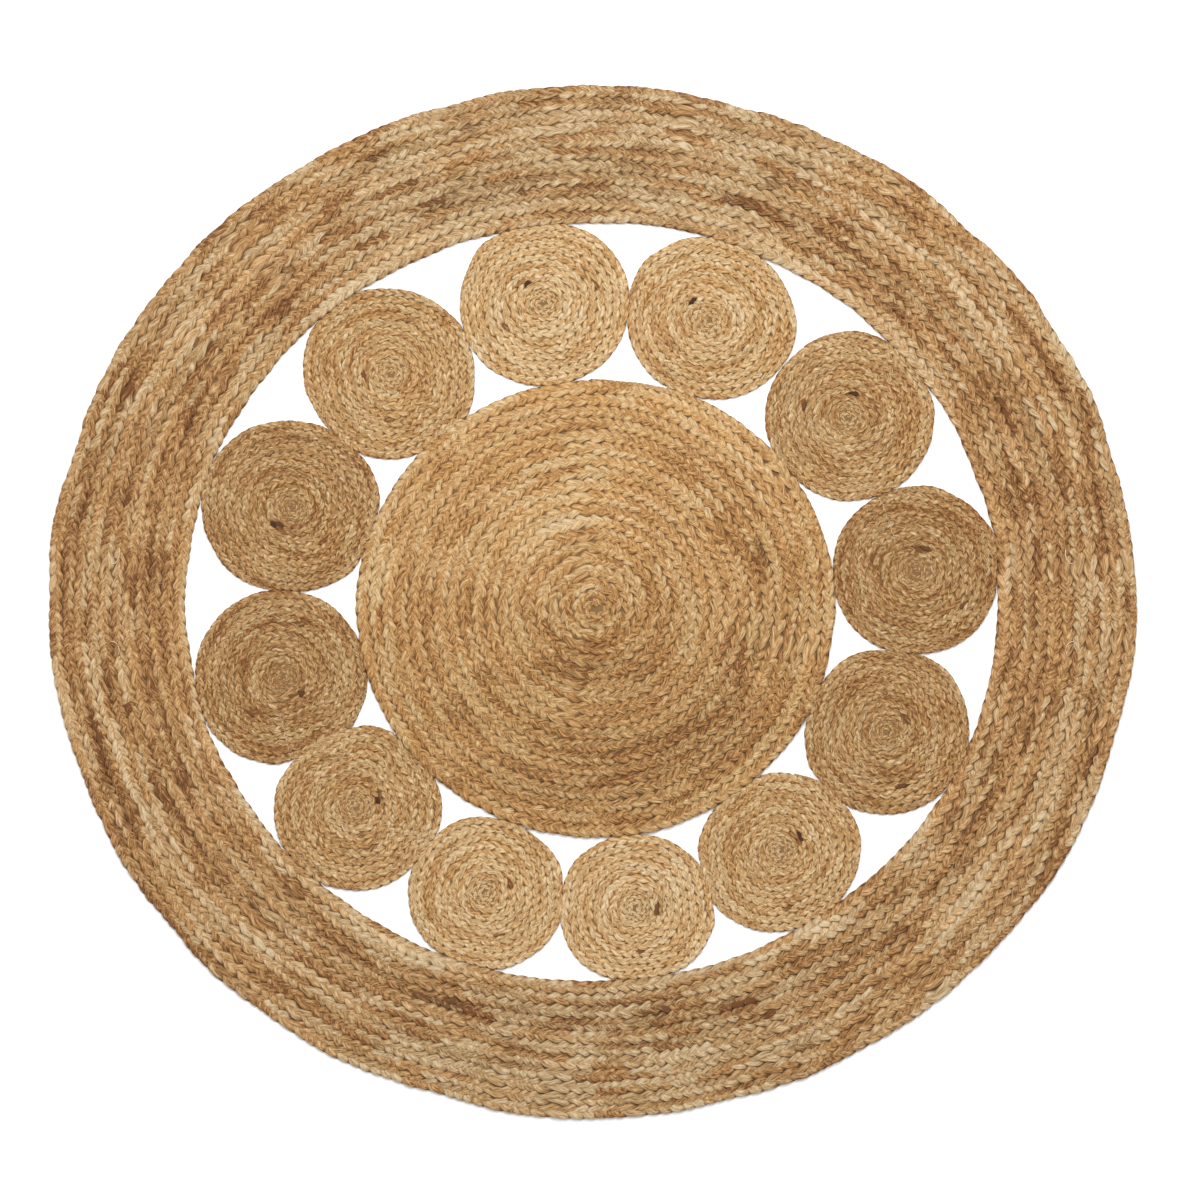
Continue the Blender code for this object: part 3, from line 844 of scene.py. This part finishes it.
def web_of_disc(name, rim, inset, thickness):
    """A flat round web inside a coil's rim, between 0.2 and 0.55 of the braid's thickness."""
    middle, bearing, radius = rim
    around = np.linspace(0.0, -TURN, 96, endpoint=False)
    reach = np.interp((around + math.pi) % TURN - math.pi, bearing, radius, period=TURN) - inset
    edge = middle + reach[:, None] * np.stack([np.cos(around), np.sin(around)], axis=1)
    points = sides_to_points([edge, edge], [WEB_FROM * thickness, COIL_WEB_TO * thickness])[None]
    dye_and_shade_height = np.full((1, 2, 3), thickness)
    return strands_to_mesh(name, points, dye_and_shade_height, False, np.random.default_rng(1))


# The web's brown is darker than the strands' and is partly painted shade for the crevices.
shaded_web = web_jute_and_shade("shaded_web", (0.20, 0.115, 0.05))
around = np.linspace(0.0, TURN, 240, endpoint=False)
near, _ = beside_oval(around, row_border(0, around) + WEB_INSET * MAIN_PITCH)
far, _ = beside_oval(around, row_border(RING_ROWS, around) - WEB_INSET * MAIN_PITCH)
heights = [share * MAIN_THICK for share in (WEB_FROM, RING_WEB_TO, RING_WEB_TO, WEB_FROM)]
band = sides_to_points([far, far, near, near], heights).transpose(1, 0, 2)[None]
mesh = strands_to_mesh("ring_web", band, np.full((1, len(around), 3), MAIN_THICK), True,
                       np.random.default_rng(1))
ring_web = add_piece("ring_web", mesh, shaded_web, "ring_jute", "outer_ring")

coils = [("centre_web", centre_rim, CENTRE_COIL, "centre_disc", "centre_braid", "centre_jute")]
for number, (small_rim, _, _) in enumerate(small_coils, start=1):
    coils.append((f"small_{number:02d}_web", small_rim, SMALL_COIL, f"small_disc_{number:02d}",
                  f"small_braid_{number:02d}", "small_jute"))
for name, rim, coil, node, braid, slot in coils:
    mesh = web_of_disc(name, rim, WEB_INSET * coil["pitch"], coil["thickness"])
    web = add_piece(name, mesh, shaded_web, slot, node)


# ---- Loose threads -----------------------------------------------------------------------------
# Pale ends of the sewing thread: hooked ends at both sides of the ring, above and below its
# middle, and one end over the outer rows of each small coil. Short bast hairs lie over the ring
# and the large coil.

HOOK_RADIUS, END_RADIUS, HAIR_RADIUS = 0.00042, 0.00022, 0.00011
OVER = 0.0004  # how far a thread's middle lies over the crests of the braid
THREAD_BEARING = 41.0  # bearing of a small coil's thread in the chart
THREAD_FROM, THREAD_TO = 0.001, 0.036  # metres inside the rim, and from the coil's middle
THREAD_LEAN = 0.0065  # metres by which it leans aside at its inner end

# Where a small coil's thread weaves to either side, in millimetres, and how far it dips or rises
# from the crests, in steps of 0.6 mm.
THREAD_WEAVE = (0.0, 1.0, -0.7, 0.8, -1.0, 0.5, -0.9, 1.1, -0.6, 0.7, -1.0, 0.6, -0.4)
THREAD_RISE = (-2, 0.5, -2.2, 0.4, -2.6, 0.6, -2, 0.4, -2.4, 0.5, -2.2, 0.4, -2)

# The corners of the ring's two hooks at the right side, and the corners' heights over the crests.
HOOKS = (
    ((0.5226, 0.0603), (0.5222, 0.0503), (0.5262, 0.0430), (0.5314, 0.0413)),
    ((0.5237, -0.0603), (0.5224, -0.0520), (0.5264, -0.0452), (0.5336, -0.0437)),
)
HOOK_RISE = (-0.0022, 0.0, 0.0004, -0.0016)

RING_HAIRS, CENTRE_HAIRS = 320, 120
CENTRE_REACH = (0.25, 0.96)  # how far out the large coil's hairs lie, and how oval


def thread_mesh(name, paths, radius, sides, rng):
    """Thin round threads along paths of points, each tapered over its last tenth at both ends. Their
    dye's thickness is so small that no part of them counts as a crevice, and none gets the painted
    crevice shade."""
    count = paths.shape[1]
    along = np.gradient(paths, axis=1)
    along /= np.linalg.norm(along, axis=2, keepdims=True)
    across = np.cross(along, (0.0, 0.0, 1.0))
    across /= np.linalg.norm(across, axis=2, keepdims=True)
    up = np.cross(across, along)
    turn = TURN * np.arange(sides) / sides
    share = np.linspace(0.0, 1.0, count)
    taper = np.clip(np.minimum(share, 1.0 - share) * 10.0, 0.25, 1.0)
    thin = radius * taper[None, :, None, None]
    points = (paths[:, :, None] + across[:, :, None] * np.cos(turn)[:, None] * thin
              + up[:, :, None] * np.sin(turn)[:, None] * thin)
    points[..., 2] = np.maximum(points[..., 2], 0.0)
    dye_and_shade_height = np.empty((len(paths), count, 3))
    dye_and_shade_height[..., 0] = 0.5 + 0.2 * rng.uniform(-1.0, 1.0, (len(paths), 1))
    dye_and_shade_height[..., 1] = 0.4
    dye_and_shade_height[..., 2] = 1e-4
    return strands_to_mesh(name, points, dye_and_shade_height, False, rng)


def curve_through(corners, count):
    """A smooth path through a few corners: each third-degree Catmull-Rom span in turn."""
    padded = np.concatenate([2 * corners[:1] - corners[1:2], corners, 2 * corners[-1:] - corners[-2:-1]])
    place = np.linspace(0.0, len(corners) - 1 - 1e-9, count)
    low = place.astype(int)
    t = (place - low)[:, None]
    a, b, c, d = padded[low], padded[low + 1], padded[low + 2], padded[low + 3]
    return 0.5 * (2 * b + (c - a) * t + (2 * a - 5 * b + 4 * c - d) * t**2 + (3 * b - a - 3 * c + d) * t**3)


pale_thread = jute("pale_thread", (0.36, 0.24, 0.13), (0.70, 0.55, 0.36), (0.88, 0.76, 0.56))
rng = np.random.default_rng(500)
hooks = []
for side in (1.0, -1.0):
    for corners in HOOKS:
        rise = np.array(HOOK_RISE)[:, None] + (MAIN_THICK + OVER)
        hooks.append(curve_through(np.concatenate([np.array(corners) * (side, 1.0), rise], axis=1), 22))
mesh = thread_mesh("ring_threads", np.stack(hooks), HOOK_RADIUS, 6, rng)
add_piece("ring_threads", mesh, pale_thread, "ring_jute", "outer_ring")

ends = []
for (middle, bearing, radius), end, hand in small_coils:
    heading = math.radians(end - CHART_END + THREAD_BEARING * hand)
    reach = np.interp((heading + math.pi) % TURN - math.pi, bearing, radius, period=TURN)
    outward = np.array([math.cos(heading), math.sin(heading)])
    beside = np.array([-outward[1], outward[0]])
    inward = np.linspace(reach - THREAD_FROM, THREAD_TO, len(THREAD_WEAVE))
    lean = hand * THREAD_LEAN * np.linspace(0.0, 1.0, len(THREAD_WEAVE)) ** 1.3
    weave = 0.0010 * np.array(THREAD_WEAVE)
    flat = middle + inward[:, None] * outward + (lean + weave)[:, None] * beside
    height = SMALL_COIL["thickness"] + 0.0006 * np.array(THREAD_RISE)
    ends.append(curve_through(np.concatenate([flat, height[:, None]], axis=1), 49))
mesh = thread_mesh("small_threads", np.stack(ends), END_RADIUS, 4, rng)
add_piece("small_threads", mesh, pale_thread, "small_jute", "small_disc_01")


def hairs_over(name, places, height, rng):
    """Short curved hairs, 6 to 16 mm long, that lie on the braids: each starts a little below the
    crests, rises over them and dips again."""
    hairs = len(places)
    heading = rng.uniform(0.0, TURN, hairs)
    bend = rng.normal(0.0, 0.9, hairs)
    long = rng.uniform(0.006, 0.016, hairs)
    share = np.linspace(-0.5, 0.5, 6)
    turned = heading[:, None] + bend[:, None] * share
    step = (long / 5.0)[:, None, None] * np.stack([np.cos(turned), np.sin(turned)], axis=2)
    flat = places[:, None] + np.cumsum(step, axis=1) - step.sum(1, keepdims=True) / 2.0
    lift = height + 0.0006 - 0.009 * share**2 * rng.uniform(0.5, 1.5, hairs)[:, None]
    return thread_mesh(name, np.concatenate([flat, lift[..., None]], axis=2), HAIR_RADIUS, 3, rng)


bearing = rng.uniform(0.0, TURN, RING_HAIRS)
beside = RING_BAND * (rng.beta(1.0, 0.8, RING_HAIRS) - 0.5) * 1.01
places, _ = beside_oval(bearing, beside)
mesh = hairs_over("ring_hairs", places, MAIN_THICK, rng)
add_piece("ring_hairs", mesh, pale_thread, "ring_jute", "outer_ring")

farthest, oval = CENTRE_REACH
spread = farthest * np.sqrt(rng.uniform(0.0, 1.0, CENTRE_HAIRS))
bearing = rng.uniform(0.0, TURN, CENTRE_HAIRS)
places = centre_rim[0] + spread[:, None] * np.stack([np.cos(bearing), np.sin(bearing) * oval], axis=1)
mesh = hairs_over("centre_hairs", places, MAIN_THICK, rng)
add_piece("centre_hairs", mesh, pale_thread, "centre_jute", "centre_disc")


# ---- Floor, light and camera -----------------------------------------------------------------
# A plain pale ground under a white sky, with one large soft lamp beyond the rug's top edge, aimed
# at its middle, and the camera straight above.

FLOOR_HALF, FLOOR_GREY = 4.0, 0.93
SKY_STRENGTH = 0.62
LAMP_SIZE, LAMP_POWER = 1.6, 95.0  # metres and watts
LAMP_PLACE, LAMP_TILT = (0.0, 0.9, 3.0), -16.7
FRAME_WIDE = 1.327  # metres of floor across the picture
CAMERA_ASIDE = (0.0083, 0.0017)
LENS, SENSOR = 120.0, 36.0

floor_mesh = bpy.data.meshes.new("floor")
floor_corners = [(x * FLOOR_HALF, y * FLOOR_HALF, 0.0) for x, y in ((-1, -1), (1, -1), (1, 1), (-1, 1))]
floor_mesh.from_pydata(floor_corners, [], [(0, 1, 2, 3)])
floor = bpy.data.objects.new("floor", floor_mesh)
bpy.context.scene.collection.objects.link(floor)
floor_paint = bpy.data.materials.new("floor_paint")
floor_paint.use_nodes = True
floor_shader = floor_paint.node_tree.nodes["Principled BSDF"]
floor_shader.inputs["Base Color"].default_value = (FLOOR_GREY, FLOOR_GREY, FLOOR_GREY, 1.0)
floor_shader.inputs["Roughness"].default_value = 0.9
floor_mesh.materials.append(floor_paint)

world = bpy.data.worlds.new("studio")
world.use_nodes = True
world.node_tree.nodes["Background"].inputs["Color"].default_value = (1.0, 1.0, 1.0, 1.0)
world.node_tree.nodes["Background"].inputs["Strength"].default_value = SKY_STRENGTH
bpy.context.scene.world = world

lamp_data = bpy.data.lights.new("soft_box", "AREA")
lamp_data.shape = "SQUARE"
lamp_data.size = LAMP_SIZE
lamp_data.energy = LAMP_POWER
lamp = bpy.data.objects.new("soft_box", lamp_data)
lamp.location = LAMP_PLACE
lamp.rotation_euler = (math.radians(LAMP_TILT), 0.0, 0.0)
bpy.context.scene.collection.objects.link(lamp)

camera_data = bpy.data.cameras.new("camera")
camera_data.lens = LENS
camera_data.sensor_width = SENSOR
camera = bpy.data.objects.new("camera", camera_data)
camera.location = (*CAMERA_ASIDE, FRAME_WIDE * camera_data.lens / camera_data.sensor_width)
bpy.context.scene.collection.objects.link(camera)
bpy.context.scene.camera = camera
bpy.context.scene.view_settings.view_transform = "Standard"
